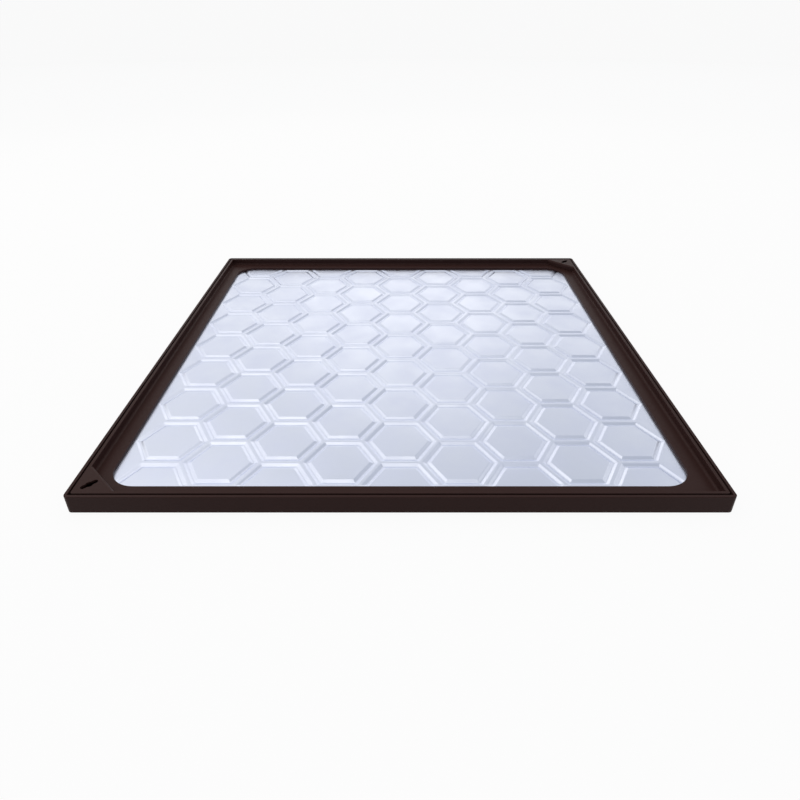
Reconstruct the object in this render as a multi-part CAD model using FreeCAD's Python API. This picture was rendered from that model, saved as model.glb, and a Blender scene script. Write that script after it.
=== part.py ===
import FreeCAD, Part
import math
import os

# Recessed paving cover: a square frame with a lid that lies in it. The lid is a shallow tray that takes
# mortar and a paving slab, and its floor is a sheet pressed with a honeycomb of grooves.
# X runs to the right, Y to the back and Z up. The origin is the middle of the footprint, on the ground.

# Driving dimensions of the frame, in millimetres
FRAME_SIDE = 600.0
FRAME_HEIGHT = 18.5
FRAME_WALL = 3.0
SEAT_THICKNESS = 3.0
SEAT_WIDTH = 25.0
UPRIGHT_CORNER_RADIUS = 4.5
HEEL_RADIUS = 0.5
ROOT_RADIUS = 2.0

# Driving dimensions of the lid's tray
LID_GAP = 2.0
TRAY_SHEET = 3.0
TRAY_BEND_RADIUS = 3.0
RECESS_DEPTH = 9.0
BORDER_WIDTH = 16.5
WINDOW_RADIUS = 27.0

# Driving dimensions of the honeycomb sheet
PANEL_SHEET = 2.0
PANEL_CORNER_RADIUS = 6.0
CELL_PITCH = 68.25
CELL_COLUMNS = 9
CELL_ROWS = 9
# The sheet is cut from wider pressed stock, so its honeycomb lies a little off the middle, to the back
CELL_OFFSET = 1.4
GROOVE_APOTHEM = 28.8
GROOVE_WIDTH = 7.0
GROOVE_FLOOR = 1.6
GROOVE_DEPTH = 1.4
GROOVE_END_MARGIN = 2.5
GROOVE_END_WALL = 1.4

# Driving dimensions of the seal
SEAL_THICKNESS = 1.5
SEAL_WIDTH = 12.0

# Driving dimensions of the lifting key plates
KEY_PLATE_SHEET = 2.0
KEY_PLATE_BEND_RADIUS = 0.5
KEY_PLATE_LEG = 36.0
KEY_HOLE_INSET = 9.0
KEY_SLOT_LENGTH = 16.0
KEY_SLOT_WIDTH = 5.0
KEY_HOLE_RADIUS = 3.6

# Levels and half sizes that follow from them
FRAME_HALF = FRAME_SIDE / 2
CAVITY_HALF = FRAME_HALF - FRAME_WALL
CLEAR_HALF = FRAME_HALF - SEAT_WIDTH
TRAY_HALF = CAVITY_HALF - LID_GAP
RECESS_HALF = TRAY_HALF - TRAY_SHEET
WINDOW_HALF = RECESS_HALF - BORDER_WIDTH
BORDER_LEVEL = FRAME_HEIGHT - RECESS_DEPTH
PANEL_LEVEL = BORDER_LEVEL - TRAY_SHEET
PANEL_UNDERSIDE = PANEL_LEVEL - PANEL_SHEET
SEAL_LEVEL = SEAT_THICKNESS
TRAY_OUTER_BEND = TRAY_BEND_RADIUS + TRAY_SHEET
PANEL_HALF = TRAY_HALF - TRAY_OUTER_BEND - 1.0
CELL_COLUMN_STEP = CELL_PITCH * math.cos(math.pi / 6)

# How far a cutting tool runs past the face that it opens, and how near two numbers are to be equal
OVERRUN = 1.0
NEAR = 1e-6

# A groove's tool runs on past the sheet's face at the same slope, to this far from the groove's middle
GROOVE_OVERRUN = GROOVE_DEPTH / 4
GROOVE_SLOPE = (GROOVE_WIDTH - GROOVE_FLOOR) / 2 / GROOVE_DEPTH
GROOVE_RIM_SPREAD = GROOVE_WIDTH / 2 + GROOVE_SLOPE * GROOVE_OVERRUN

SIDES = ("front", "right", "back", "left")
UP = FreeCAD.Vector(0, 0, 1)
ORIGIN = FreeCAD.Vector(0, 0, 0)


def rounded_square(half: float, radius: float, level: float) -> Part.Wire:
    """Return a square outline centred on the origin, with round corners where radius is above zero."""
    if radius <= 0:
        corners = [(-half, -half), (half, -half), (half, half), (-half, half), (-half, -half)]
        return Part.makePolygon([FreeCAD.Vector(x, y, level) for x, y in corners])
    edges = []
    straight = half - radius
    for quarter in range(4):
        turn = FreeCAD.Rotation(UP, 90.0 * quarter)
        start = turn.multVec(FreeCAD.Vector(-straight, -half, level))
        end = turn.multVec(FreeCAD.Vector(straight, -half, level))
        bulge = straight + radius * math.sin(math.pi / 4)
        middle = turn.multVec(FreeCAD.Vector(bulge, -bulge, level))
        after = turn.multVec(FreeCAD.Vector(half, -straight, level))
        edges.append(Part.makeLine(start, end))
        edges.append(Part.Arc(end, middle, after).toShape())
    return Part.Wire(edges)


def block(half: float, low: float, high: float, radius: float = 0.0) -> Part.Shape:
    """Return an upright block on a square footprint, from the level low to the level high."""
    footprint = Part.Face(rounded_square(half, radius, low))
    return footprint.extrude(FreeCAD.Vector(0, 0, high - low))


def round_bottom(solid: Part.Shape, radius: float) -> Part.Shape:
    """Round every edge that lies in the lowest face of a block."""
    low = solid.BoundBox.ZMin
    bottom = [edge for edge in solid.Edges if abs(edge.BoundBox.ZMax - low) < NEAR]
    return solid.makeFillet(radius, bottom)


def quarter_wedge(turn: float) -> Part.Shape:
    """Return the quarter of space, cut along both mitres, that holds one side of the square."""
    reach = FRAME_SIDE
    tip = [(0, 0), (-reach, -reach), (reach, -reach), (0, 0)]
    outline = Part.makePolygon([FreeCAD.Vector(x, y, -OVERRUN) for x, y in tip])
    wedge = Part.Face(outline).extrude(FreeCAD.Vector(0, 0, FRAME_HEIGHT + 2 * OVERRUN))
    wedge.rotate(ORIGIN, UP, turn)
    return wedge


def frame_rails() -> dict:
    """Build the frame: four lengths of steel angle, mitred and welded, their corners ground round."""
    body = round_bottom(block(FRAME_HALF, 0, FRAME_HEIGHT, UPRIGHT_CORNER_RADIUS), HEEL_RADIUS)
    cavity = round_bottom(block(CAVITY_HALF, SEAT_THICKNESS, FRAME_HEIGHT + OVERRUN), ROOT_RADIUS)
    opening = block(CLEAR_HALF, -OVERRUN, SEAT_THICKNESS + OVERRUN)
    ring = body.cut(cavity).cut(opening)
    rails = {}
    for index, side in enumerate(SIDES):
        rails["frame_rail_" + side] = ring.common(quarter_wedge(90.0 * index))
    return rails


def seat_seals() -> dict:
    """Build the four strips of flat rubber seal that lie on the frame's seat, butted at the corners."""
    inner = PANEL_HALF - SEAL_WIDTH
    seals = {}
    for index, side in enumerate(SIDES):
        half_length = PANEL_HALF if side in ("front", "back") else inner
        corner = FreeCAD.Vector(-half_length, -PANEL_HALF, SEAL_LEVEL)
        strip = Part.makeBox(2 * half_length, SEAL_WIDTH, SEAL_THICKNESS, corner)
        strip.rotate(ORIGIN, UP, 90.0 * index)
        seals["seat_seal_" + side] = strip
    return seals


def lid_tray() -> Part.Shape:
    """Build the tray: one sheet with a round-cornered window, its four edges folded up and welded."""
    outside = round_bottom(block(TRAY_HALF, PANEL_LEVEL, FRAME_HEIGHT), TRAY_OUTER_BEND)
    inside = round_bottom(block(RECESS_HALF, BORDER_LEVEL, FRAME_HEIGHT + OVERRUN), TRAY_BEND_RADIUS)
    window = block(WINDOW_HALF, PANEL_LEVEL - OVERRUN, BORDER_LEVEL + OVERRUN, WINDOW_RADIUS)
    return outside.cut(inside).cut(window)


def hexagon(apothem: float, level: float) -> list:
    """Return a hexagon's corners about the origin, two of its sides parallel to X, the first one twice."""
    corner_distance = apothem / math.cos(math.pi / 6)
    points = []
    for corner in range(7):
        angle = math.radians(60.0 * corner)
        x = corner_distance * math.cos(angle)
        y = corner_distance * math.sin(angle)
        points.append(FreeCAD.Vector(x, y, level))
    return points


def hexagon_frustum(low_apothem: float, low: float, high_apothem: float, high: float) -> Part.Shape:
    """Return a hexagonal block whose six flat sides slope between two levels."""
    lower = hexagon(low_apothem, low)
    upper = hexagon(high_apothem, high)
    faces = [Part.Face(Part.makePolygon(lower)), Part.Face(Part.makePolygon(upper))]
    for side in range(6):
        corners = [lower[side], lower[side + 1], upper[side + 1], upper[side], lower[side]]
        faces.append(Part.Face(Part.makePolygon(corners)))
    return Part.Solid(Part.Shell(faces))


def groove_ring(level: float) -> Part.Shape:
    """Return one hexagonal groove, a channel with sloping sides, pressed down from the given level."""
    floor = level - GROOVE_DEPTH
    rim = level + GROOVE_OVERRUN
    spread = GROOVE_RIM_SPREAD
    outer = hexagon_frustum(GROOVE_APOTHEM + GROOVE_FLOOR / 2, floor, GROOVE_APOTHEM + spread, rim)
    inner = hexagon_frustum(GROOVE_APOTHEM - GROOVE_FLOOR / 2, floor, GROOVE_APOTHEM - spread, rim)
    return outer.cut(inner)


def cell_centres() -> list:
    """Return the middles of the honeycomb's cells, every other column half a pitch off the middle one."""
    centres = []
    middle = CELL_COLUMNS // 2
    rows = CELL_ROWS // 2
    for column in range(-middle, middle + 1):
        x = column * CELL_COLUMN_STEP
        if column % 2 == 0:
            steps = [float(row) for row in range(-rows, rows + 1)]
        else:
            steps = [row + 0.5 for row in range(-rows, rows)]
        centres.extend(FreeCAD.Vector(x, step * CELL_PITCH + CELL_OFFSET, 0) for step in steps)
    return centres


def honeycomb(level: float, end: float) -> list:
    """Return every groove of the honeycomb, those at the front and back cut off at the distance end."""
    ring = groove_ring(level)
    corner = FreeCAD.Vector(-TRAY_HALF, -end, level - GROOVE_DEPTH - OVERRUN)
    field = Part.makeBox(2 * TRAY_HALF, 2 * end, GROOVE_DEPTH + 2 * OVERRUN, corner)
    grooves = []
    for centre in cell_centres():
        groove = ring.translated(centre)
        if abs(centre.y) + GROOVE_APOTHEM > end:
            groove = groove.common(field)
        grooves.append(groove)
    return grooves


def honeycomb_panel() -> Part.Shape:
    """Build the floor sheet: its grooves are pressed through, so each stands out as a ridge below."""
    groove_end = CLEAR_HALF - GROOVE_END_MARGIN + GROOVE_END_WALL / 2
    sheet = block(PANEL_HALF, PANEL_UNDERSIDE, PANEL_LEVEL, PANEL_CORNER_RADIUS)
    ridges = honeycomb(PANEL_UNDERSIDE, groove_end + GROOVE_END_WALL)
    grooves = honeycomb(PANEL_LEVEL, groove_end)
    pressed = sheet.multiFuse(ridges).removeSplitter()
    return pressed.cut(Part.makeCompound(grooves)).removeSplitter()


def triangle_prism(leg: float, low: float, high: float) -> Part.Shape:
    """Return an upright prism on a right triangle whose square corner is the recess's front left one."""
    corner = FreeCAD.Vector(-RECESS_HALF, -RECESS_HALF, low)
    along_x = FreeCAD.Vector(leg, 0, 0)
    along_y = FreeCAD.Vector(0, leg, 0)
    outline = Part.makePolygon([corner, corner + along_x, corner + along_y, corner])
    return Part.Face(outline).extrude(FreeCAD.Vector(0, 0, high - low))


def round_diagonal(prism: Part.Shape, radius: float) -> Part.Shape:
    """Round the top edge of a triangle prism's long side, where the plate is folded down."""
    top = prism.BoundBox.ZMax
    fold = []
    for edge in prism.Edges:
        box = edge.BoundBox
        if abs(box.ZMin - top) < NEAR and box.XLength > NEAR and box.YLength > NEAR:
            fold.append(edge)
    return prism.makeFillet(radius, fold)


def key_hole() -> Part.Shape:
    """Return the hole for the lifting key: a slot along the corner's bisector with a round middle."""
    depth = FRAME_HEIGHT - BORDER_LEVEL
    low = BORDER_LEVEL + depth / 2
    height = depth
    half_run = (KEY_SLOT_LENGTH - KEY_SLOT_WIDTH) / 2
    radius = KEY_SLOT_WIDTH / 2
    bar = Part.makeBox(2 * half_run, KEY_SLOT_WIDTH, height, FreeCAD.Vector(-half_run, -radius, low))
    ends = [
        Part.makeCylinder(radius, height, FreeCAD.Vector(x, 0, low)) for x in (-half_run, half_run)
    ]
    middle = Part.makeCylinder(KEY_HOLE_RADIUS, height, FreeCAD.Vector(0, 0, low))
    hole = bar.multiFuse(ends + [middle]).removeSplitter()
    hole.rotate(ORIGIN, UP, 45.0)
    inset = -RECESS_HALF + KEY_HOLE_INSET
    hole.translate(FreeCAD.Vector(inset, inset, 0))
    return hole


def key_plates(tray: Part.Shape) -> dict:
    """Build the two lifting key plates, each a corner plate folded down along its long side."""
    outer_radius = KEY_PLATE_BEND_RADIUS + KEY_PLATE_SHEET
    pocket_leg = KEY_PLATE_LEG - KEY_PLATE_SHEET * math.sqrt(2)
    outside = round_diagonal(triangle_prism(KEY_PLATE_LEG, BORDER_LEVEL, FRAME_HEIGHT), outer_radius)
    pocket = triangle_prism(pocket_leg, BORDER_LEVEL - OVERRUN, FRAME_HEIGHT - KEY_PLATE_SHEET)
    pocket = round_diagonal(pocket, KEY_PLATE_BEND_RADIUS)
    # The fold's lower ends are coped to the tray's inside bend by taking the tray's own form away
    plate = outside.cut(pocket).cut(key_hole()).cut(tray)
    return {
        "key_plate_front_left": plate,
        "key_plate_back_right": plate.rotated(ORIGIN, UP, 180.0),
    }


def only_solid(name: str, shape: Part.Shape) -> Part.Shape:
    """Return the one solid that a piece is made of, and stop if it isn't one valid solid."""
    if len(shape.Solids) != 1 or not shape.isValid():
        raise ValueError(f"{name} is {len(shape.Solids)} solids, valid {shape.isValid()}")
    return shape.Solids[0]


def build() -> dict:
    """Return every piece of the cover by name."""
    tray = lid_tray()
    pieces = {}
    pieces.update(frame_rails())
    pieces.update(seat_seals())
    pieces["lid_tray"] = tray
    pieces["honeycomb_panel"] = honeycomb_panel()
    pieces.update(key_plates(tray))
    return {name: only_solid(name, shape) for name, shape in pieces.items()}


def main() -> None:
    """Write one file per piece."""
    os.makedirs("parts", exist_ok=True)
    for name, shape in build().items():
        shape.exportStep(f"parts/{name}.step")


main()
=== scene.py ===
"""Recessed paving cover: the looks of its frame, lid tray and honeycomb floor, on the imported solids."""

import logging
import math
from dataclasses import dataclass, field
from enum import Enum
from typing import Any, Iterable, Optional

import bmesh
import bpy
from mathutils import Euler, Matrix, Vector
from mathutils.kdtree import KDTree


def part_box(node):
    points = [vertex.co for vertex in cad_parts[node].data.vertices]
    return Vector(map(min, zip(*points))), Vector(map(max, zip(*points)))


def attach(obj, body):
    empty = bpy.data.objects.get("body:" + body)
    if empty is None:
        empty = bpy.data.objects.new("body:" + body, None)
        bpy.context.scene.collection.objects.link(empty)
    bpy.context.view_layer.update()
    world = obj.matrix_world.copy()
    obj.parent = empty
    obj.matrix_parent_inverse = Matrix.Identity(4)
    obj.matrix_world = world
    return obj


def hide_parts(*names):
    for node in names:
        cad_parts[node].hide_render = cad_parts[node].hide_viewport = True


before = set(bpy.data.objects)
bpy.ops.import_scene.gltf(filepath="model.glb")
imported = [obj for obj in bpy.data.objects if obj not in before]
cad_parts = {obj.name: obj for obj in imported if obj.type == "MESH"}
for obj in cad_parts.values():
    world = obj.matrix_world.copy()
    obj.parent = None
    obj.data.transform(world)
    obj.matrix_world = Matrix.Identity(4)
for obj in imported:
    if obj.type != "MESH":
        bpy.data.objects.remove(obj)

log = logging.getLogger("paving cover")

MM = 0.001
QUARTER_TURN = math.pi / 2
HEXAGON_SIDES = 6
# Half the angle between two neighbouring corners of a hexagon, seen from its middle
HALF_CORNER = math.pi / HEXAGON_SIDES
WELD_DISTANCE = 0.002 * MM
# The weight at which weighted normals follow a piece's largest faces
LARGEST_FACES = 100

Socket = bpy.types.NodeSocket
Tree = bpy.types.NodeTree


class Slot(Enum):
    """The record's material slots."""

    FRAME_STEEL = "painted_frame_steel"
    LID_STEEL = "painted_lid_steel"
    ZINC_SHEET = "zinc_coated_sheet"
    SEAL = "seal_rubber"


class Side(Enum):
    """The four sides of the square."""

    FRONT = "front"
    RIGHT = "right"
    BACK = "back"
    LEFT = "left"


class Corner(Enum):
    """The two corners that have a lifting key plate."""

    FRONT_LEFT = "front_left"
    BACK_RIGHT = "back_right"


def linear(colour: str) -> tuple[float, float, float, float]:
    """Turn an sRGB hex colour into the linear values that a shader takes.

    Args:
        colour: Six hex digits with a leading hash.

    Returns:
        Linear red, green and blue, and a full alpha.
    """
    channels = [int(colour[start : start + 2], 16) / 255.0 for start in (1, 3, 5)]
    red, green, blue = (c / 12.92 if c <= 0.04045 else ((c + 0.055) / 1.055) ** 2.4 for c in channels)
    return red, green, blue, 1.0


def luminance(colour: str) -> float:
    """Tell how bright a colour given as sRGB hex is beside white."""
    red, green, blue, _ = linear(colour)
    return 0.2126 * red + 0.7152 * green + 0.0722 * blue


@dataclass
class TreeBuilder:
    """Adds nodes to a tree, with their settings, values and links."""

    tree: Tree
    # The tree's own inputs by name, where it has any
    size: dict[str, Socket] = field(default_factory=dict)

    def add(
        self,
        kind: str,
        settings: Optional[dict[str, Any]] = None,
        inputs: Optional[dict[str, Any]] = None,
    ) -> bpy.types.Node:
        """Add a node with its settings, values and links.

        Args:
            kind: The node's type name.
            settings: The node's own properties by name.
            inputs: By the input's identifier, a value, an output to link to it, or a list of outputs.

        Returns:
            The new node.
        """
        node = self.tree.nodes.new(kind)
        for name, value in (settings or {}).items():
            setattr(node, name, value)
        sockets = {socket.identifier: socket for socket in node.inputs}
        for identifier, given in (inputs or {}).items():
            for value in given if isinstance(given, list) else [given]:
                if isinstance(value, Socket):
                    self.tree.links.new(value, sockets[identifier])
                else:
                    sockets[identifier].default_value = value
        return node


def output(node: bpy.types.Node, identifier: str) -> Socket:
    """Find a node's output by its identifier, where several outputs share a name.

    Args:
        node: The node.
        identifier: The output's identifier.

    Returns:
        The output.
    """
    return next(socket for socket in node.outputs if socket.identifier == identifier)


def new_material(name: str) -> tuple[bpy.types.Material, TreeBuilder]:
    """Make an empty node material.

    Args:
        name: The material's name.

    Returns:
        The material and the builder of its empty tree.
    """
    material = bpy.data.materials.new(name)
    material.use_nodes = True
    material.node_tree.nodes.clear()
    return material, TreeBuilder(material.node_tree)


@dataclass(frozen=True)
class PowderCoat:
    """Polyester powder coat, stoved on steel: dark brown, with a soft gloss and a fine orange peel."""

    name: str = "powder_coat_dark_brown"
    colour: str = "#3A2623"
    colour_thin: str = "#3D2826"
    # The peel's pitch is drawn twice as coarse as the real one, so that it shows
    peel_pitch_mm: float = 3.0
    peel_height_mm: float = 0.02
    # The peel's noise seldom leaves this range
    peel_low: float = 0.3
    peel_high: float = 0.7
    flow_pitch_mm: float = 45.0
    roughness_low: float = 0.36
    roughness_high: float = 0.46
    specular: float = 0.08
    ior: float = 1.5

    def material(self) -> bpy.types.Material:
        """Build the coat's material.

        Returns:
            The material, its colour and gloss varied by how the powder flowed out.
        """
        material, nodes = new_material(self.name)
        place = nodes.add("ShaderNodeTexCoord").outputs["Object"]
        flow = nodes.add(
            "ShaderNodeTexNoise",
            inputs={"Vector": place, "Scale": 1 / (self.flow_pitch_mm * MM), "Detail": 3.0},
        )
        peel = nodes.add(
            "ShaderNodeTexNoise",
            inputs={"Vector": place, "Scale": 1 / (self.peel_pitch_mm * MM), "Detail": 2.0},
        )
        colour = nodes.add(
            "ShaderNodeMix",
            {"data_type": "RGBA"},
            {
                "Factor_Float": flow.outputs["Fac"],
                "A_Color": linear(self.colour),
                "B_Color": linear(self.colour_thin),
            },
        )
        roughness = nodes.add(
            "ShaderNodeMapRange",
            inputs={
                "Value": peel.outputs["Fac"],
                "From Min": self.peel_low,
                "From Max": self.peel_high,
                "To Min": self.roughness_low,
                "To Max": self.roughness_high,
            },
        )
        bump = nodes.add(
            "ShaderNodeBump",
            inputs={"Height": peel.outputs["Fac"], "Distance": self.peel_height_mm * MM},
        )
        shader = nodes.add(
            "ShaderNodeBsdfPrincipled",
            inputs={
                "Base Color": output(colour, "Result_Color"),
                "Roughness": roughness.outputs["Result"],
                "Normal": bump.outputs["Normal"],
                "IOR": self.ior,
                "Specular IOR Level": self.specular,
            },
        )
        nodes.add("ShaderNodeOutputMaterial", inputs={"Surface": shader.outputs["BSDF"]})
        return material


@dataclass(frozen=True)
class ZincCoatedSheet:
    """Zinc-coated steel sheet, skin-passed and pressed: pale, faintly blue, with a clouded shine."""

    name: str = "zinc_coated_steel_sheet"
    colour: str = "#E3E9FA"
    colour_cloud: str = "#DFE5F8"
    cloud_pitch_mm: float = 38.0
    # The clouds' noise seldom leaves this range
    cloud_low: float = 0.35
    cloud_high: float = 0.65
    # The rolled grain is drawn three times as coarse as the real one, so that it shows
    grain_pitch_mm: float = 1.2
    grain_height_mm: float = 0.004
    sag_pitch_mm: float = 30.0
    sag_height_mm: float = 0.05
    roughness_low: float = 0.30
    roughness_high: float = 0.38

    def material(self) -> bpy.types.Material:
        """Build the sheet's material.

        Returns:
            The material, clouded in colour and shine, with the sheet's slight waviness in its bump.
        """
        material, nodes = new_material(self.name)
        place = nodes.add("ShaderNodeTexCoord").outputs["Object"]
        cloud = nodes.add(
            "ShaderNodeTexNoise",
            inputs={"Vector": place, "Scale": 1 / (self.cloud_pitch_mm * MM), "Detail": 4.0},
        )
        grain = nodes.add(
            "ShaderNodeTexNoise",
            inputs={"Vector": place, "Scale": 1 / (self.grain_pitch_mm * MM), "Detail": 2.0},
        )
        sag = nodes.add(
            "ShaderNodeTexNoise",
            inputs={"Vector": place, "Scale": 1 / (self.sag_pitch_mm * MM), "Detail": 1.0},
        )
        share = nodes.add(
            "ShaderNodeMapRange",
            inputs={
                "Value": cloud.outputs["Fac"],
                "From Min": self.cloud_low,
                "From Max": self.cloud_high,
            },
        )
        colour = nodes.add(
            "ShaderNodeMix",
            {"data_type": "RGBA"},
            {
                "Factor_Float": share.outputs["Result"],
                "A_Color": linear(self.colour),
                "B_Color": linear(self.colour_cloud),
            },
        )
        roughness = nodes.add(
            "ShaderNodeMapRange",
            inputs={
                "Value": share.outputs["Result"],
                "To Min": self.roughness_low,
                "To Max": self.roughness_high,
            },
        )
        wave = nodes.add(
            "ShaderNodeBump",
            inputs={"Height": sag.outputs["Fac"], "Distance": self.sag_height_mm * MM},
        )
        rolled = nodes.add(
            "ShaderNodeBump",
            inputs={
                "Height": grain.outputs["Fac"],
                "Distance": self.grain_height_mm * MM,
                "Normal": wave.outputs["Normal"],
            },
        )
        shader = nodes.add(
            "ShaderNodeBsdfPrincipled",
            inputs={
                "Base Color": output(colour, "Result_Color"),
                "Metallic": 1.0,
                "Roughness": roughness.outputs["Result"],
                "Normal": rolled.outputs["Normal"],
            },
        )
        nodes.add("ShaderNodeOutputMaterial", inputs={"Surface": shader.outputs["BSDF"]})
        return material


@dataclass(frozen=True)
class SealRubber:
    """Extruded EPDM rubber: matt black, a little uneven, and greyed here and there by bloom."""

    name: str = "epdm_rubber"
    colour: str = "#1A1A1A"
    colour_bloom: str = "#262626"
    bloom_pitch_mm: float = 9.0
    bloom_height_mm: float = 0.02
    roughness: float = 0.8

    def material(self) -> bpy.types.Material:
        """Build the rubber's material.

        Returns:
            The material, its black greyed here and there by bloom.
        """
        material, nodes = new_material(self.name)
        place = nodes.add("ShaderNodeTexCoord").outputs["Object"]
        bloom = nodes.add(
            "ShaderNodeTexNoise",
            inputs={"Vector": place, "Scale": 1 / (self.bloom_pitch_mm * MM), "Detail": 5.0},
        )
        colour = nodes.add(
            "ShaderNodeMix",
            {"data_type": "RGBA"},
            {
                "Factor_Float": bloom.outputs["Fac"],
                "A_Color": linear(self.colour),
                "B_Color": linear(self.colour_bloom),
            },
        )
        bump = nodes.add(
            "ShaderNodeBump",
            inputs={"Height": bloom.outputs["Fac"], "Distance": self.bloom_height_mm * MM},
        )
        shader = nodes.add(
            "ShaderNodeBsdfPrincipled",
            inputs={
                "Base Color": output(colour, "Result_Color"),
                "Roughness": self.roughness,
                "Normal": bump.outputs["Normal"],
            },
        )
        nodes.add("ShaderNodeOutputMaterial", inputs={"Surface": shader.outputs["BSDF"]})
        return material


@dataclass(frozen=True)
class StudioPaper:
    """Seamless white paper: white to the camera and in metal, with the object's shadow on it."""

    name: str = "studio_paper"
    # The greyer paper that the lamps' light falls on, so that it throws little light back
    colour: str = "#A9A9A9"
    # The paper that is seen, whose shadows show, and the share of plain white laid over it
    colour_seen: str = "#FAFAFA"
    white: str = "#FFFFFF"
    white_share: float = 0.93

    def material(self) -> bpy.types.Material:
        """Build the paper's material.

        Returns:
            The material, mostly plain white to camera, glossy and transmission rays, and greyer paper
            to all others.
        """
        material, nodes = new_material(self.name)
        path = nodes.add("ShaderNodeLightPath")
        looked_at = path.outputs["Is Camera Ray"]
        for ray in ("Is Glossy Ray", "Is Transmission Ray"):
            either = nodes.add(
                "ShaderNodeMath",
                {"operation": "MAXIMUM"},
                {"Value": looked_at, "Value_001": path.outputs[ray]},
            )
            looked_at = either.outputs["Value"]
        share = nodes.add(
            "ShaderNodeMath",
            {"operation": "MULTIPLY"},
            {"Value": looked_at, "Value_001": self.white_share},
        )
        colour = nodes.add(
            "ShaderNodeMix",
            {"data_type": "RGBA"},
            {
                "Factor_Float": looked_at,
                "A_Color": linear(self.colour),
                "B_Color": linear(self.colour_seen),
            },
        )
        paper = nodes.add("ShaderNodeBsdfDiffuse", inputs={"Color": output(colour, "Result_Color")})
        white = nodes.add(
            "ShaderNodeEmission", inputs={"Color": linear(self.white), "Strength": 1.0}
        )
        mixed = nodes.add(
            "ShaderNodeMixShader",
            inputs={
                "Fac": share.outputs["Value"],
                "Shader": paper.outputs["BSDF"],
                "Shader_001": white.outputs["Emission"],
            },
        )
        nodes.add("ShaderNodeOutputMaterial", inputs={"Surface": mixed.outputs["Shader"]})
        return material


def new_object(name: str, mesh: bpy.types.Mesh) -> bpy.types.Object:
    """Put a mesh in the scene as an object at the origin.

    Args:
        name: The object's name.
        mesh: Its mesh, already in place.

    Returns:
        The new object.
    """
    thing = bpy.data.objects.new(name, mesh)
    bpy.context.scene.collection.objects.link(thing)
    return thing


def set_only_material(thing: bpy.types.Object, material: bpy.types.Material) -> None:
    """Give an object one material for all its faces.

    Args:
        thing: The object.
        material: The material that replaces whatever it had.
    """
    thing.data.materials.clear()
    thing.data.materials.append(material)


def evaluated_mesh(thing: bpy.types.Object) -> bpy.types.Mesh:
    """Turn an object with its modifiers into a plain mesh and remove the object.

    Args:
        thing: The object, whose modifiers are all live.

    Returns:
        The mesh that the modifiers make.
    """
    graph = bpy.context.evaluated_depsgraph_get()
    mesh = bpy.data.meshes.new_from_object(
        thing.evaluated_get(graph), preserve_all_data_layers=True, depsgraph=graph
    )
    bpy.data.objects.remove(thing)
    return mesh


def shaded_object(name: str, mesh: bpy.types.Mesh) -> bpy.types.Object:
    """Make an object whose normals follow its largest faces, so that flats look flat up to their rims.

    Args:
        name: The object's name.
        mesh: Its mesh, already in place. Its sharp edges stay sharp.

    Returns:
        The object, with no modifier left on it.
    """
    draft = new_object(name + "_draft", mesh)
    weigh = draft.modifiers.new("normals by area", "WEIGHTED_NORMAL")
    weigh.keep_sharp = True
    weigh.weight = LARGEST_FACES
    return new_object(name, evaluated_mesh(draft))


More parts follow.
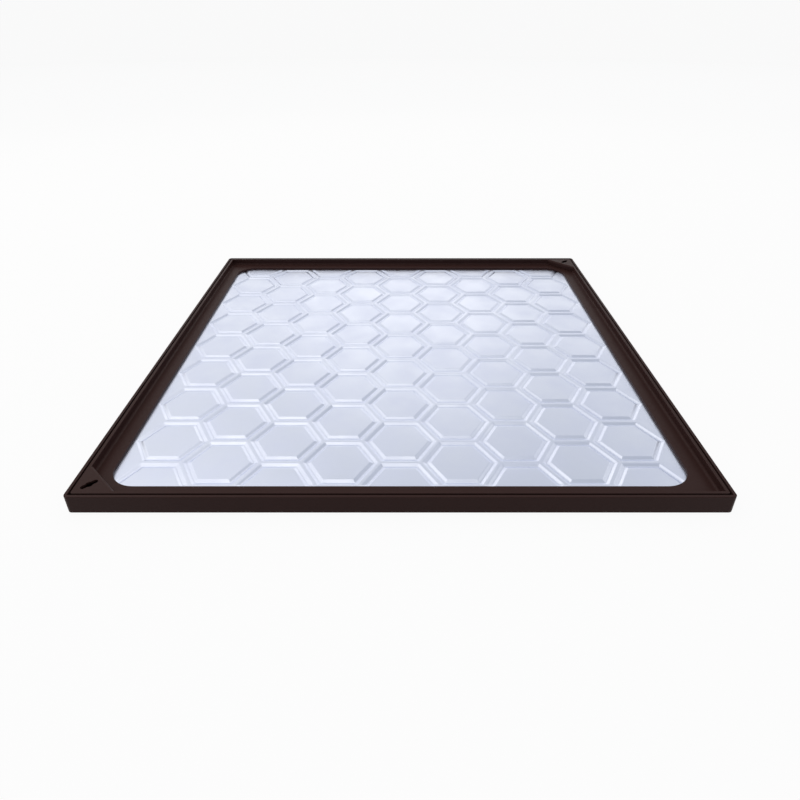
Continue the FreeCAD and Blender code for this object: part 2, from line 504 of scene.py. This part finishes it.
@dataclass(frozen=True)
class SteelFinisher:
    """Rounds the sharp edges of a steel piece as the coat does, on a merged copy of its solid."""

    edge_round_mm: float = 0.4
    edge_steps: int = 2
    sharp_from_deg: float = 50.0
    flat_within_deg: float = 0.3
    mitre_tolerance_mm: float = 0.01
    # What stands on the ground keeps its sheared lower edge
    ground_level_mm: float = 0.1
    # The piece's four upright corners, where its folded edges are welded and ground round
    corner_round_mm: float = 0.0
    corner_facets: int = 5

    def on_mitre(self, edge: bmesh.types.BMEdge) -> bool:
        """Tell whether an edge lies in a mitre plane, where two rails are welded flush."""
        limit = self.mitre_tolerance_mm * MM
        return all(abs(abs(vert.co.x) - abs(vert.co.y)) < limit for vert in edge.verts)

    def wants_round(self, edge: bmesh.types.BMEdge, keep_mitres: bool) -> bool:
        """Tell whether the coat rounds this edge.

        Args:
            edge: An edge of the merged mesh.
            keep_mitres: Whether edges in the mitre planes stay sharp.

        Returns:
            True for an outward edge as sharp as a sheet's cut rim.
        """
        if len(edge.link_faces) != 2 or not edge.is_convex:
            return False
        if all(vert.co.z < self.ground_level_mm * MM for vert in edge.verts):
            return False
        if keep_mitres and self.on_mitre(edge):
            return False
        return edge.calc_face_angle(0.0) > math.radians(self.sharp_from_deg)

    def grind_corners(self, work: bmesh.types.BMesh) -> None:
        """Grind a square piece's four upright corners round, facet by facet.

        Args:
            work: The merged mesh, centred on the origin.
        """
        half = max(vert.co.x for vert in work.verts)
        radius = self.corner_round_mm * MM
        step = QUARTER_TURN / self.corner_facets
        for corner in range(4):
            middle = Vector((half - radius, half - radius, 0.0))
            middle.rotate(Euler((0.0, 0.0, corner * QUARTER_TURN)))
            for facet in range(self.corner_facets):
                angle = corner * QUARTER_TURN + (facet + 0.5) * step
                outwards = Vector((math.cos(angle), math.sin(angle), 0.0))
                cut = bmesh.ops.bisect_plane(
                    work,
                    geom=[*work.verts, *work.edges, *work.faces],
                    dist=WELD_DISTANCE,
                    plane_co=middle + radius * outwards,
                    plane_no=outwards,
                    clear_outer=True,
                )["geom_cut"]
                rim = [item for item in cut if isinstance(item, bmesh.types.BMEdge)]
                bmesh.ops.edgenet_fill(work, edges=rim)
        bmesh.ops.recalc_face_normals(work, faces=work.faces)

    def finished(self, name: str, node: str, keep_mitres: bool) -> bpy.types.Object:
        """Make the finished piece from a solid.

        Args:
            name: The piece's name.
            node: The CAD node that it is made from.
            keep_mitres: Whether edges in the mitre planes stay sharp.

        Returns:
            The piece, in place.
        """
        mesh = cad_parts[node].data.copy()
        work = bmesh.new()
        work.from_mesh(mesh)
        bmesh.ops.remove_doubles(work, verts=work.verts, dist=WELD_DISTANCE)
        bmesh.ops.dissolve_limit(
            work, angle_limit=math.radians(self.flat_within_deg), verts=work.verts, edges=work.edges
        )
        if self.corner_round_mm > 0:
            self.grind_corners(work)
        rims = [edge for edge in work.edges if self.wants_round(edge, keep_mitres)]
        bmesh.ops.bevel(
            work,
            geom=rims,
            offset=self.edge_round_mm * MM,
            offset_type="OFFSET",
            segments=self.edge_steps,
            profile=0.5,
            affect="EDGES",
            clamp_overlap=True,
        )
        for face in work.faces:
            face.smooth = True
        for edge in work.edges:
            edge.smooth = edge.calc_face_angle(0.0) < math.radians(self.sharp_from_deg)
        work.to_mesh(mesh)
        work.free()
        return shaded_object(name, mesh)


@dataclass
class WeldedFrame:
    """The frame: four lengths of steel angle, mitred, welded and ground flush before coating."""

    finisher: SteelFinisher = SteelFinisher(edge_round_mm=0.5)

    def build(self) -> list[bpy.types.Object]:
        """Build the four rails.

        Returns:
            The rails, from the front one round to the left one.
        """
        rails = []
        for side in Side:
            node = "frame_rail_" + side.value
            rail = self.finisher.finished("rail_" + side.value, node, keep_mitres=True)
            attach(rail, "root")
            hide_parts(node)
            rails.append(rail)
        return rails

    def dress(self, rails: Iterable[bpy.types.Object], material: bpy.types.Material) -> None:
        """Coat the rails.

        Args:
            rails: The rails.
            material: The coat.
        """
        for rail in rails:
            set_only_material(rail, material)


@dataclass
class LidTray:
    """The lid: a tray folded from one sheet, and a key plate welded in at two of its corners."""

    finisher: SteelFinisher = SteelFinisher(edge_round_mm=0.4, corner_round_mm=2.0)
    plate_finisher: SteelFinisher = SteelFinisher(edge_round_mm=0.1)

    def build(self) -> list[bpy.types.Object]:
        """Build the tray and its two key plates.

        Returns:
            The tray, then the key plates.
        """
        tray = self.finisher.finished("tray", "lid_tray", keep_mitres=False)
        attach(tray, "root")
        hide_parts("lid_tray")
        pieces = [tray]
        for corner in Corner:
            node = "key_plate_" + corner.value
            name = "lifting_plate_" + corner.value
            plate = self.plate_finisher.finished(name, node, keep_mitres=False)
            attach(plate, "root")
            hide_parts(node)
            pieces.append(plate)
        return pieces

    def dress(self, pieces: Iterable[bpy.types.Object], material: bpy.types.Material) -> None:
        """Coat the tray and its key plates.

        Args:
            pieces: The tray and the plates.
            material: The coat.
        """
        for piece in pieces:
            set_only_material(piece, material)


@dataclass
class HoneycombPanel:
    """The floor sheet, pressed with a hexagonal groove round each cell. Sizes are in millimetres."""

    half_side: float = 288.0
    corner_radius: float = 6.0
    corner_points: int = 6
    sheet: float = 2.0
    cell_pitch: float = 68.25
    # Columns of two kinds take turns. The outermost ones end in half cells at the front and the back
    cut_columns: int = 5
    whole_columns: int = 4
    cells_in_column: int = 8
    field_offset: float = 1.4
    groove_apothem: float = 28.8
    # The groove's slopes run from its rim to its floor, and each of these bends is rounded both ways
    groove_rim: float = 3.6
    groove_floor: float = 0.6
    groove_round: float = 0.3
    groove_depth: float = 1.4
    # The groove is swept round corners of this radius, which are then drawn out
    groove_corner_radius: float = 4.0
    groove_corner_points: int = 3
    # Added to the reach within which a corner's places are looked for
    search_margin: float = 0.05
    groove_end: float = 271.5
    groove_fade: float = 2.0
    groove_end_cuts: int = 15
    sharp_from_deg: float = 50.0

    def groove_reach(self) -> float:
        """Tell how far the groove's section reaches from its middle line."""
        return self.groove_rim + self.groove_round

    def section_points(self) -> int:
        """Count the section's points, two rounding lengths apart, so that a step spans each bend."""
        return round(self.groove_reach() / self.groove_round) + 1

    def sizes(self) -> dict[str, float]:
        """Give the tree's inputs by name, in metres."""
        return {
            "Side": 2 * self.half_side * MM,
            "Corner radius": self.corner_radius * MM,
            "Sheet": self.sheet * MM,
            "Cell pitch": self.cell_pitch * MM,
            "Groove corner distance": self.groove_apothem / math.cos(HALF_CORNER) * MM,
            "Groove reach": self.groove_reach() * MM,
            "Groove rim": self.groove_rim * MM,
            "Groove floor": self.groove_floor * MM,
            "Groove depth": self.groove_depth * MM,
            "Groove corner radius": self.groove_corner_radius * MM,
            "Groove end": self.groove_end * MM,
            "Groove fade start": (self.groove_end - self.groove_fade) * MM,
            "Field offset": self.field_offset * MM,
            "Top level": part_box("honeycomb_panel")[1].z,
        }

    def groove_profile(self, nodes: TreeBuilder) -> Socket:
        """Add the nodes for the groove's section: two straight slopes, rounded at rims and floor.

        Args:
            nodes: The tree's builder.

        Returns:
            The section, as a curve whose depth is along Y.
        """
        far = nodes.add(
            "ShaderNodeMath",
            {"operation": "MULTIPLY"},
            {"Value": nodes.size["Groove reach"], "Value_001": -1.0},
        )
        start = nodes.add("ShaderNodeCombineXYZ", inputs={"X": far.outputs["Value"]})
        end = nodes.add("ShaderNodeCombineXYZ", inputs={"X": nodes.size["Groove reach"]})
        across = nodes.add(
            "GeometryNodeCurvePrimitiveLine",
            inputs={"Start": start.outputs["Vector"], "End": end.outputs["Vector"]},
        )
        stepped = nodes.add(
            "GeometryNodeResampleCurve",
            {"mode": "COUNT"},
            {"Curve": across.outputs["Curve"], "Count": self.section_points()},
        )
        place = nodes.add("GeometryNodeInputPosition")
        parts = nodes.add("ShaderNodeSeparateXYZ", inputs={"Vector": place.outputs["Position"]})
        off_middle = nodes.add(
            "ShaderNodeMath", {"operation": "ABSOLUTE"}, {"Value": parts.outputs["X"]}
        )
        dip = nodes.add(
            "ShaderNodeMapRange",
            inputs={
                "Value": off_middle.outputs["Value"],
                "From Min": nodes.size["Groove rim"],
                "From Max": nodes.size["Groove floor"],
                "To Max": nodes.size["Groove depth"],
            },
        )
        down = nodes.add("ShaderNodeCombineXYZ", inputs={"Y": dip.outputs["Result"]})
        section = nodes.add(
            "GeometryNodeSetPosition",
            inputs={"Geometry": stepped.outputs["Curve"], "Offset": down.outputs["Vector"]},
        )
        return section.outputs["Geometry"]

    def whole_groove(self, nodes: TreeBuilder, section: Socket) -> Socket:
        """Add the nodes for one whole groove, its section swept round a hexagon with rounded corners.

        Args:
            nodes: The tree's builder.
            section: The groove's section.

        Returns:
            The groove's mesh, about the origin.
        """
        hexagon = nodes.add(
            "GeometryNodeCurvePrimitiveCircle",
            {"mode": "RADIUS"},
            {"Resolution": HEXAGON_SIDES, "Radius": nodes.size["Groove corner distance"]},
        )
        rounded = nodes.add(
            "GeometryNodeFilletCurve",
            {"mode": "POLY"},
            {
                "Curve": hexagon.outputs["Curve"],
                "Count": self.groove_corner_points,
                "Radius": nodes.size["Groove corner radius"],
            },
        )
        swept = nodes.add(
            "GeometryNodeCurveToMesh",
            inputs={"Curve": rounded.outputs["Curve"], "Profile Curve": section},
        )
        return swept.outputs["Mesh"]

    def half_groove(self, nodes: TreeBuilder, section: Socket) -> Socket:
        """Add the nodes for the three-sided groove of a half cell, finely divided towards its two ends.

        Args:
            nodes: The tree's builder.
            section: The groove's section.

        Returns:
            The groove's mesh, about the middle of its whole cell, open to the back.
        """
        bend = nodes.add(
            "GeometryNodeCurveArc",
            {"mode": "RADIUS"},
            {
                "Resolution": HEXAGON_SIDES // 2 + 1,
                "Radius": nodes.size["Groove corner distance"],
                "Start Angle": math.pi,
                "Sweep Angle": math.pi,
            },
        )
        rounded = nodes.add(
            "GeometryNodeFilletCurve",
            {"mode": "POLY"},
            {
                "Curve": bend.outputs["Curve"],
                "Count": self.groove_corner_points,
                "Radius": nodes.size["Groove corner radius"],
            },
        )
        # A side is cut as its first point says, which for the last side is the last point but one
        ends = nodes.add(
            "GeometryNodeCurveEndpointSelection", inputs={"Start Size": 1, "End Size": 2}
        )
        cuts = nodes.add(
            "GeometryNodeSwitch",
            {"input_type": "INT"},
            {"Switch": ends.outputs["Selection"], "False": 0, "True": self.groove_end_cuts},
        )
        divided = nodes.add(
            "GeometryNodeSubdivideCurve",
            inputs={"Curve": rounded.outputs["Curve"], "Cuts": cuts.outputs["Output"]},
        )
        swept = nodes.add(
            "GeometryNodeCurveToMesh",
            inputs={"Curve": divided.outputs["Curve"], "Profile Curve": section},
        )
        return swept.outputs["Mesh"]

    def faded_out(self, nodes: TreeBuilder, grooves: Socket) -> Socket:
        """Add the nodes that let grooves run out before the field's front and back ends.

        Args:
            nodes: The tree's builder.
            grooves: Grooves in place, their rims at level zero.

        Returns:
            The same grooves, shallower towards both ends.
        """
        place = nodes.add("GeometryNodeInputPosition")
        parts = nodes.add("ShaderNodeSeparateXYZ", inputs={"Vector": place.outputs["Position"]})
        off_middle = nodes.add(
            "ShaderNodeMath", {"operation": "ABSOLUTE"}, {"Value": parts.outputs["Y"]}
        )
        depth_share = nodes.add(
            "ShaderNodeMapRange",
            {"interpolation_type": "SMOOTHSTEP"},
            {
                "Value": off_middle.outputs["Value"],
                "From Min": nodes.size["Groove end"],
                "From Max": nodes.size["Groove fade start"],
            },
        )
        share = nodes.add(
            "ShaderNodeCombineXYZ", inputs={"X": 1.0, "Y": 1.0, "Z": depth_share.outputs["Result"]}
        )
        faded = nodes.add(
            "ShaderNodeVectorMath",
            {"operation": "MULTIPLY"},
            {"Vector": place.outputs["Position"], "Vector_001": share.outputs["Vector"]},
        )
        moved = nodes.add(
            "GeometryNodeSetPosition",
            inputs={"Geometry": grooves, "Position": faded.outputs["Vector"]},
        )
        return moved.outputs["Geometry"]

    def lattice(self, nodes: TreeBuilder, columns: int, rows: int, row_steps: int) -> Socket:
        """Add the nodes for the middles of every other column of cells.

        Args:
            nodes: The tree's builder.
            columns: How many columns, two column steps apart.
            rows: How many rows.
            row_steps: How many cell pitches lie between the first row and the last one.

        Returns:
            The middles, as the points of a grid centred on the origin.
        """
        width = nodes.add(
            "ShaderNodeMath",
            {"operation": "MULTIPLY"},
            {"Value": nodes.size["Cell pitch"], "Value_001": 2 * (columns - 1) * math.cos(HALF_CORNER)},
        )
        length = nodes.add(
            "ShaderNodeMath",
            {"operation": "MULTIPLY"},
            {"Value": nodes.size["Cell pitch"], "Value_001": float(row_steps)},
        )
        grid = nodes.add(
            "GeometryNodeMeshGrid",
            inputs={
                "Size X": width.outputs["Value"],
                "Size Y": length.outputs["Value"],
                "Vertices X": columns,
                "Vertices Y": rows,
            },
        )
        return grid.outputs["Mesh"]

    def all_grooves(self, nodes: TreeBuilder) -> Socket:
        """Add the nodes that set a groove round every cell.

        Args:
            nodes: The tree's builder.

        Returns:
            All the grooves as one mesh, their rims at level zero.
        """
        section = self.groove_profile(nodes)
        count = self.cells_in_column
        middles = [
            self.lattice(nodes, self.cut_columns, count - 1, count - 2),
            self.lattice(nodes, self.whole_columns, count, count - 1),
        ]
        cells = nodes.add("GeometryNodeJoinGeometry", inputs={"Geometry": middles})
        whole = nodes.add(
            "GeometryNodeInstanceOnPoints",
            inputs={
                "Points": cells.outputs["Geometry"],
                "Instance": self.whole_groove(nodes, section),
            },
        )
        place = nodes.add("GeometryNodeInputPosition")
        parts = nodes.add("ShaderNodeSeparateXYZ", inputs={"Vector": place.outputs["Position"]})
        in_front = nodes.add(
            "ShaderNodeMath",
            {"operation": "LESS_THAN"},
            {"Value": parts.outputs["Y"], "Value_001": 0.0},
        )
        turn = nodes.add(
            "ShaderNodeMath",
            {"operation": "MULTIPLY"},
            {"Value": in_front.outputs["Value"], "Value_001": math.pi},
        )
        turned = nodes.add("ShaderNodeCombineXYZ", inputs={"Z": turn.outputs["Value"]})
        half = nodes.add(
            "GeometryNodeInstanceOnPoints",
            inputs={
                "Points": self.lattice(nodes, self.cut_columns, 2, count),
                "Instance": self.half_groove(nodes, section),
                "Rotation": turned.outputs["Vector"],
            },
        )
        offset = nodes.add("ShaderNodeCombineXYZ", inputs={"Y": nodes.size["Field offset"]})
        ready = []
        for cell in (whole, half):
            shifted = nodes.add(
                "GeometryNodeSetPosition",
                inputs={"Geometry": cell.outputs["Instances"], "Offset": offset.outputs["Vector"]},
            )
            real = nodes.add(
                "GeometryNodeRealizeInstances", inputs={"Geometry": shifted.outputs["Geometry"]}
            )
            ready.append(real.outputs["Geometry"])
        ready[1] = self.faded_out(nodes, ready[1])
        grooves = nodes.add("GeometryNodeJoinGeometry", inputs={"Geometry": ready})
        return grooves.outputs["Geometry"]

    def flats(self, nodes: TreeBuilder, grooves: Socket) -> Socket:
        """Add the nodes for the flat sheet between the grooves' rims and inside them.

        Args:
            nodes: The tree's builder.
            grooves: All the grooves.

        Returns:
            The flats as one mesh at level zero.
        """
        square = nodes.add(
            "GeometryNodeCurvePrimitiveQuadrilateral",
            {"mode": "RECTANGLE"},
            {"Width": nodes.size["Side"], "Height": nodes.size["Side"]},
        )
        outline = nodes.add(
            "GeometryNodeFilletCurve",
            {"mode": "POLY"},
            {
                "Curve": square.outputs["Curve"],
                "Count": self.corner_points,
                "Radius": nodes.size["Corner radius"],
            },
        )
        neighbours = nodes.add("GeometryNodeInputMeshEdgeNeighbors")
        at_rim = nodes.add(
            "FunctionNodeCompare",
            {"data_type": "INT", "operation": "EQUAL"},
            {"A_INT": neighbours.outputs["Face Count"], "B_INT": 1},
        )
        rims = nodes.add(
            "GeometryNodeMeshToCurve",
            inputs={"Mesh": grooves, "Selection": at_rim.outputs["Result"]},
        )
        loops = nodes.add(
            "GeometryNodeJoinGeometry",
            inputs={"Geometry": [outline.outputs["Curve"], rims.outputs["Curve"]]},
        )
        filled = nodes.add(
            "GeometryNodeFillCurve", {"mode": "TRIANGLES"}, {"Curve": loops.outputs["Geometry"]}
        )
        return filled.outputs["Mesh"]

    def thickened(self, nodes: TreeBuilder, surface: Socket) -> Socket:
        """Add the nodes that give the pressed surface the sheet's thickness.

        Args:
            nodes: The tree's builder.
            surface: The sheet's upper surface.

        Returns:
            The closed sheet.
        """
        straight_down = nodes.add("ShaderNodeCombineXYZ", inputs={"Z": -1.0})
        down = nodes.add(
            "GeometryNodeExtrudeMesh",
            {"mode": "FACES"},
            {
                "Mesh": surface,
                "Offset": straight_down.outputs["Vector"],
                "Offset Scale": nodes.size["Sheet"],
                "Individual": False,
            },
        )
        under = nodes.add("GeometryNodeFlipFaces", inputs={"Mesh": down.outputs["Mesh"]})
        both = nodes.add(
            "GeometryNodeJoinGeometry", inputs={"Geometry": [under.outputs["Mesh"], surface]}
        )
        closed = nodes.add(
            "GeometryNodeMergeByDistance",
            inputs={"Geometry": both.outputs["Geometry"], "Distance": WELD_DISTANCE},
        )
        return closed.outputs["Geometry"]

    def tree(self) -> Tree:
        """Build the node tree that makes the sheet.

        Returns:
            The tree, with an input for each size and one for the material.
        """
        tree = bpy.data.node_groups.new("honeycomb sheet", "GeometryNodeTree")
        tree.interface.new_socket("Geometry", in_out="OUTPUT", socket_type="NodeSocketGeometry")
        for name in self.sizes():
            tree.interface.new_socket(name, in_out="INPUT", socket_type="NodeSocketFloat")
        tree.interface.new_socket("Material", in_out="INPUT", socket_type="NodeSocketMaterial")
        nodes = TreeBuilder(tree)
        nodes.size = {socket.name: socket for socket in nodes.add("NodeGroupInput").outputs}
        grooves = self.all_grooves(nodes)
        flats = self.flats(nodes, grooves)
        surface = nodes.add("GeometryNodeJoinGeometry", inputs={"Geometry": [grooves, flats]})
        welded = nodes.add(
            "GeometryNodeMergeByDistance",
            inputs={"Geometry": surface.outputs["Geometry"], "Distance": WELD_DISTANCE},
        )
        level = nodes.add("ShaderNodeCombineXYZ", inputs={"Z": nodes.size["Top level"]})
        raised = nodes.add(
            "GeometryNodeSetPosition",
            inputs={"Geometry": welded.outputs["Geometry"], "Offset": level.outputs["Vector"]},
        )
        closed = self.thickened(nodes, raised.outputs["Geometry"])
        smooth = nodes.add(
            "GeometryNodeSetShadeSmooth",
            {"domain": "FACE"},
            {"Geometry": closed, "Shade Smooth": True},
        )
        angle = nodes.add("GeometryNodeInputMeshEdgeAngle")
        is_rim = nodes.add(
            "FunctionNodeCompare",
            {"data_type": "FLOAT", "operation": "GREATER_THAN"},
            {"A": angle.outputs["Unsigned Angle"], "B": math.radians(self.sharp_from_deg)},
        )
        rimmed = nodes.add(
            "GeometryNodeSetShadeSmooth",
            {"domain": "EDGE"},
            {
                "Geometry": smooth.outputs["Geometry"],
                "Selection": is_rim.outputs["Result"],
                "Shade Smooth": False,
            },
        )
        real = nodes.add(
            "GeometryNodeRealizeInstances", inputs={"Geometry": rimmed.outputs["Geometry"]}
        )
        dressed = nodes.add(
            "GeometryNodeSetMaterial",
            inputs={"Geometry": real.outputs["Geometry"], "Material": nodes.size["Material"]},
        )
        nodes.add("NodeGroupOutput", inputs={"Socket_0": dressed.outputs["Geometry"]})
        return tree

    def cell_middles(self) -> list[Vector]:
        """Work out the middles of all cells, the half ones included.

        Returns:
            The middles in metres, column by column.
        """
        step = self.cell_pitch * math.cos(HALF_CORNER)
        columns = self.cut_columns + self.whole_columns
        middles = []
        for column in range(columns):
            rows = self.cells_in_column + 1 - column % 2
            across = (column - (columns - 1) / 2) * step
            for row in range(rows):
                along = (row - (rows - 1) / 2) * self.cell_pitch + self.field_offset
                middles.append(Vector((across * MM, along * MM, 0.0)))
        return middles

    def square_corners(self, mesh: bpy.types.Mesh) -> None:
        """Draw the grooves' rounded corners out into mitred ones, as the press tool's are.

        Args:
            mesh: The sheet's mesh, which this changes. Only places move, and none of them up or down.
        """
        places = KDTree(len(mesh.vertices))
        for vert in mesh.vertices:
            places.insert((vert.co.x, vert.co.y, 0.0), vert.index)
        places.balance()
        reach = (self.groove_corner_radius + self.groove_reach() + self.search_margin) * MM
        inset = (self.groove_apothem - self.groove_corner_radius) / math.cos(HALF_CORNER) * MM
        for middle in self.cell_middles():
            for corner in range(HEXAGON_SIDES):
                turn = Euler((0.0, 0.0, corner * 2 * HALF_CORNER))
                way = Vector((1.0, 0.0, 0.0))
                way.rotate(turn)
                pivot = middle + inset * way
                # A half groove fades out in the middle of its last corners, which stay round
                if abs(pivot.y) > (self.groove_end - self.groove_rim) * MM:
                    continue
                for _, index, _ in places.find_range(pivot, reach):
                    vert = mesh.vertices[index]
                    arm = Vector((vert.co.x, vert.co.y, 0.0)) - pivot
                    lean = arm.angle(way, math.pi)
                    if lean >= HALF_CORNER:
                        continue
                    # Most of the arc goes to the two straight lines, and little to the corner itself
                    nearer = lean**2 / HALF_CORNER
                    side = math.copysign(1.0, way.cross(arm).z)
                    drawn = arm.length / math.cos(HALF_CORNER - nearer)
                    turned = Vector((math.cos(side * nearer), math.sin(side * nearer), 0.0))
                    turned.rotate(turn)
                    vert.co += drawn * turned - arm

    def build(self, material: bpy.types.Material) -> bpy.types.Object:
        """Build the sheet.

        Args:
            material: The sheet's material, which the tree sets.

        Returns:
            The sheet as one plain mesh.
        """
        tree = self.tree()
        draft = new_object("honeycomb_draft", bpy.data.meshes.new("honeycomb_draft"))
        grown = draft.modifiers.new("honeycomb sheet", "NODES")
        grown.node_group = tree
        values: dict[str, Any] = {**self.sizes(), "Material": material}
        for item in tree.interface.items_tree:
            if item.in_out == "INPUT":
                grown[item.identifier] = values[item.name]
        mesh = evaluated_mesh(draft)
        # The tree adds its material after the draft's own empty slot
        mesh.materials.pop(index=0)
        self.square_corners(mesh)
        sheet = shaded_object("honeycomb_sheet", mesh)
        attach(sheet, "root")
        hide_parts("honeycomb_panel")
        return sheet

    def dress(self, sheet: bpy.types.Object) -> None:
        """Leave the sheet as it is, since the tree has already set its material.

        Args:
            sheet: The sheet. Not used.
        """


@dataclass
class SeatSeals:
    """The four rubber strips on the frame's seat, shown as their solids are."""

    rubber: SealRubber = SealRubber()

    def dress(self) -> list[bpy.types.Object]:
        """Give each strip its rubber.

        Returns:
            The strips.
        """
        material = self.rubber.material()
        strips = []
        for side in Side:
            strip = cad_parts["seat_seal_" + side.value]
            set_only_material(strip, material)
            strips.append(strip)
        return strips


@dataclass(frozen=True)
class PanelRow:
    """A row of softboxes at one height, aimed at the object. Angles are in degrees, from the origin."""

    name: str
    elevation: float
    # How wide and how high each panel looks
    across: float
    up: float
    # How bright each panel looks, where 1 is white, by its azimuth, counted from +X towards +Y
    radiances: dict[int, float]
    # Warm white, as against the cooler light from all round
    colour: str = "#FFF8EB"

    def hang_one(self, azimuth: int, radiance: float, distance: float) -> bpy.types.Object:
        """Hang one panel of the row.

        Args:
            azimuth: In which direction it hangs, in degrees.
            radiance: How bright it looks, where 1 is white.
            distance: How far from the origin it hangs, in metres.

        Returns:
            The panel, which lights and mirrors but isn't seen by the camera.
        """
        turn = math.radians(azimuth)
        rise = math.radians(self.elevation)
        outwards = Vector(
            (math.cos(rise) * math.cos(turn), math.cos(rise) * math.sin(turn), math.sin(rise))
        )
        name = f"panel_{self.name}_{azimuth}"
        data = bpy.data.lights.new(name, "AREA")
        data.shape = "RECTANGLE"
        data.size = 2 * distance * math.tan(math.radians(self.across / 2))
        data.size_y = 2 * distance * math.tan(math.radians(self.up / 2))
        data.color = linear(self.colour)[:3]
        data.energy = radiance / luminance(self.colour) * math.pi * data.size * data.size_y
        lamp = bpy.data.objects.new(name, data)
        bpy.context.scene.collection.objects.link(lamp)
        lamp.location = distance * outwards
        lamp.rotation_euler = outwards.to_track_quat("Z", "Y").to_euler()
        lamp.visible_camera = False
        return lamp

    def hang(self, distance: float) -> list[bpy.types.Object]:
        """Hang all panels of the row at this distance in metres, and list them."""
        return [self.hang_one(azimuth, value, distance) for azimuth, value in self.radiances.items()]


@dataclass
class Studio:
    """The floor, the backdrop, the light and the camera. Lengths with no unit named are in metres."""

    floor_radius: float = 6.0
    wall_height: float = 2.4
    wall_segments: int = 64
    world_strength: float = 0.58
    world_colour: str = "#F6FAFF"
    # The camera's place, tilt and picture, as the outline of the frame in the photograph gives them
    camera_place: tuple[float, float, float] = (0.0009, -0.7014, 0.3909)
    camera_pitch_deg: float = 29.5
    lens_mm: float = 27.085
    sensor_mm: float = 36.0
    shift_x: float = -0.0015
    shift_y: float = -0.0569
    clip_start: float = 0.01
    clip_end: float = 100.0
    panel_distance: float = 2.2
    # Brightest at the left and low at the back
    panel_rows: tuple[PanelRow, ...] = (
        PanelRow("lowest", 13, 44, 10, {180: 1.05}),
        PanelRow("low", 24, 27.5, 12, {30: 0.22, 60: 0.42, 90: 0.71, 120: 0.46, 150: 0.63}),
        PanelRow("middle", 37, 24.2, 14, {30: 0.46, 60: 0.16, 90: 0.34, 120: 0.18, 150: 0.5}),
        PanelRow("high", 52, 28.6, 16, {135: 0.59, 180: 0.87}),
        PanelRow("highest", 69, 23.4, 18, {90: 0.53, 150: 0.55, 210: 0.69}),
        PanelRow("overhead", 90, 24, 24, {90: 0.63}),
    )

    def paper(self) -> bpy.types.Object:
        """Lay the floor and stand the round backdrop on its edge.

        Returns:
            The paper, as one piece of the stage.
        """
        work = bmesh.new()
        ring = bmesh.ops.create_circle(
            work, cap_ends=True, radius=self.floor_radius, segments=self.wall_segments
        )["verts"]
        rim = [edge for edge in work.edges if all(vert in ring for vert in edge.verts)]
        wall = bmesh.ops.extrude_edge_only(work, edges=rim)["geom"]
        raised = [item for item in wall if isinstance(item, bmesh.types.BMVert)]
        bmesh.ops.translate(work, verts=raised, vec=(0.0, 0.0, self.wall_height))
        mesh = bpy.data.meshes.new("paper")
        work.to_mesh(mesh)
        work.free()
        paper = new_object("paper", mesh)
        set_only_material(paper, StudioPaper().material())
        return paper

    def world(self) -> None:
        """Set the even light that comes from all round."""
        world = bpy.data.worlds.new("studio")
        world.use_nodes = True
        world.node_tree.nodes.clear()
        nodes = TreeBuilder(world.node_tree)
        light = nodes.add(
            "ShaderNodeBackground",
            inputs={"Color": linear(self.world_colour), "Strength": self.world_strength},
        )
        nodes.add("ShaderNodeOutputWorld", inputs={"Surface": light.outputs["Background"]})
        bpy.context.scene.world = world

    def camera(self) -> bpy.types.Object:
        """Set up the camera where the photograph was taken from.

        Returns:
            The camera.
        """
        data = bpy.data.cameras.new("camera")
        data.sensor_width = self.sensor_mm
        data.lens = self.lens_mm
        data.shift_x = self.shift_x
        data.shift_y = self.shift_y
        data.clip_start = self.clip_start
        data.clip_end = self.clip_end
        camera = bpy.data.objects.new("camera", data)
        bpy.context.scene.collection.objects.link(camera)
        camera.location = self.camera_place
        camera.rotation_euler = (math.radians(90.0 - self.camera_pitch_deg), 0.0, 0.0)
        bpy.context.scene.camera = camera
        return camera

    def build(self) -> None:
        """Set up the whole studio."""
        bpy.context.scene.view_settings.view_transform = "Standard"
        self.paper()
        self.world()
        for row in self.panel_rows:
            row.hang(self.panel_distance)
        self.camera()


def main() -> None:
    """Build every piece in order."""
    logging.basicConfig(level=logging.INFO, format="%(name)s: %(message)s")
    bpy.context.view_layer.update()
    coat = PowderCoat().material()
    steel_frame = WeldedFrame()
    rails = steel_frame.build()
    steel_frame.dress(rails, coat)
    log.info("frame: %d rails", len(rails))
    tray = LidTray()
    pieces = tray.build()
    tray.dress(pieces, coat)
    log.info("lid: %d coated pieces", len(pieces))
    panel = HoneycombPanel()
    sheet = panel.build(ZincCoatedSheet().material())
    panel.dress(sheet)
    log.info("honeycomb sheet: %d faces", len(sheet.data.polygons))
    strips = SeatSeals().dress()
    log.info("seal: %d strips", len(strips))
    Studio().build()


if __name__ == "__main__":
    main()
